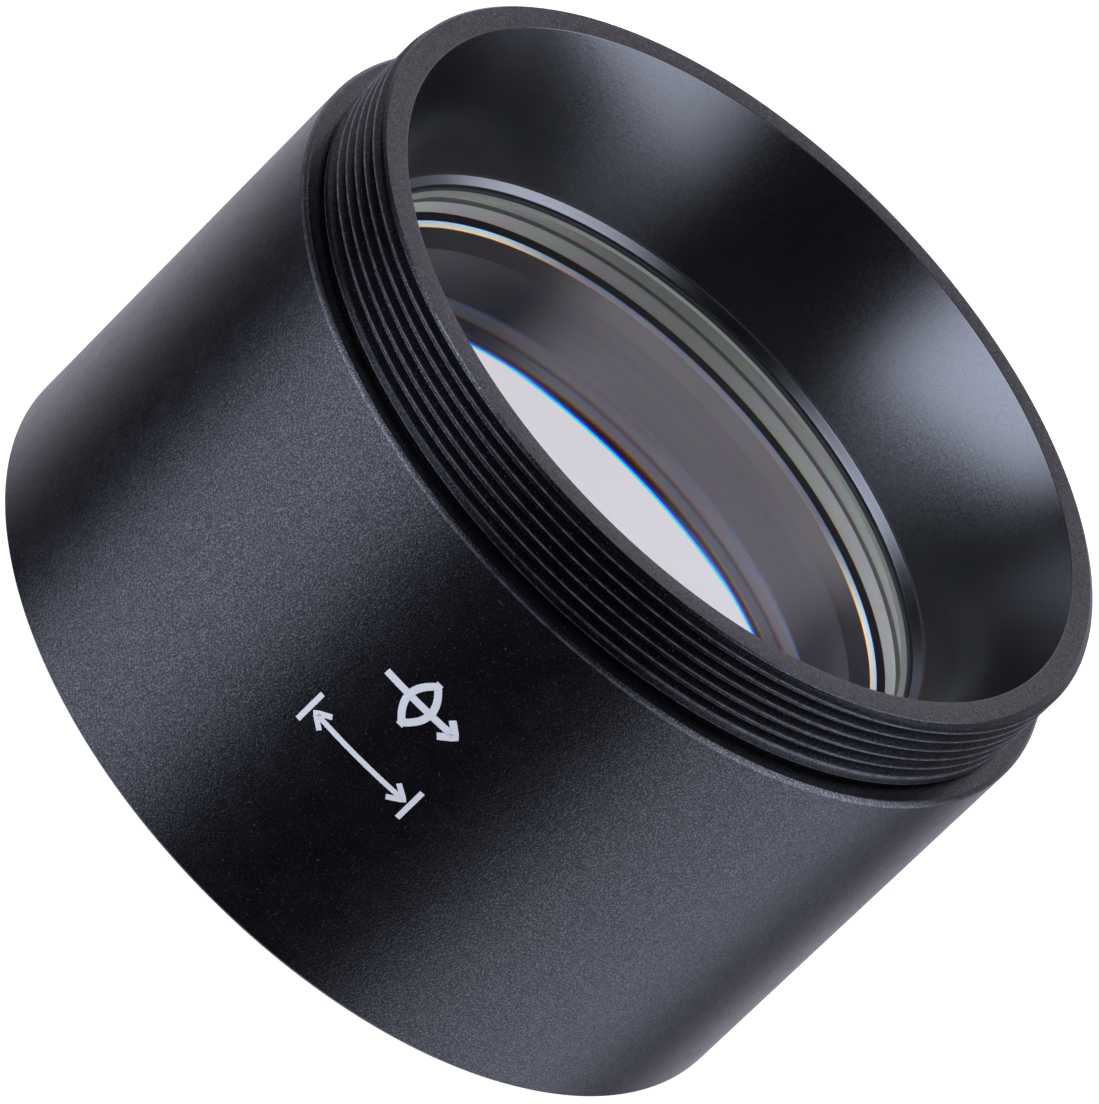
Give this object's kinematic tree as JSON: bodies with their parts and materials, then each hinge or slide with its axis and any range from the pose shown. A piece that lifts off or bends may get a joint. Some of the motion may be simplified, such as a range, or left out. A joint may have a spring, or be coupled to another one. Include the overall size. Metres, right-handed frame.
{
  "type": "stereo microscope auxiliary objective lens",
  "caption": "Screw-in Barlow-style auxiliary objective: black barrel, fine male mount thread, conical bore, two lens groups held by a slotted retaining ring.",
  "frame": {"origin": "centre of the casing's bottom face, on the optical axis", "axes": "+Z along the optical axis, from the specimen side up to the microscope thread; -Y towards the printed marks"},
  "size_m": [0.05, 0.05, 0.0311],
  "materials": {
    "blasted_black": "black anodised aluminium, fine bead-blasted grain",
    "satin_black": "black anodised aluminium, turned satin",
    "black_film": "matt black acetal or polyester film",
    "flint_glass": "polished optical flint, violet anti-reflection coating, ground edge",
    "crown_glass": "polished optical crown, violet anti-reflection coating, ground edge",
    "rubber": "matt black nitrile cord",
    "white_ink": "white pad-printed index marks, Blender only"
  },
  "bodies": {
    "body_and_optics": {"casing": "blasted_black", "seat_gasket": "black_film", "upper_flint_lens": "flint_glass", "upper_crown_lens": "crown_glass", "spacer_tube": "satin_black", "lower_lens": "crown_glass", "o_ring": "rubber"},
    "washer_carrier": {"slip_washer": "black_film"},
    "ring_carrier": {"retaining_ring": "satin_black"}
  },
  "joints": [
    {"name": "ring_travel", "type": "slide", "parent": "body_and_optics", "child": "washer_carrier", "axis": [0, 0, -1], "range_m": [0, 0.0045]},
    {"name": "ring_turn", "type": "hinge", "parent": "washer_carrier", "child": "ring_carrier", "pos_m": [0, 0, 0.00508], "axis": [0, 0, -1], "range_deg": [0, 2160]}
  ],
  "couplings": [
    {"joint": "ring_travel", "follows": "ring_turn", "m_per_rad": 0.00011937}
  ]
}
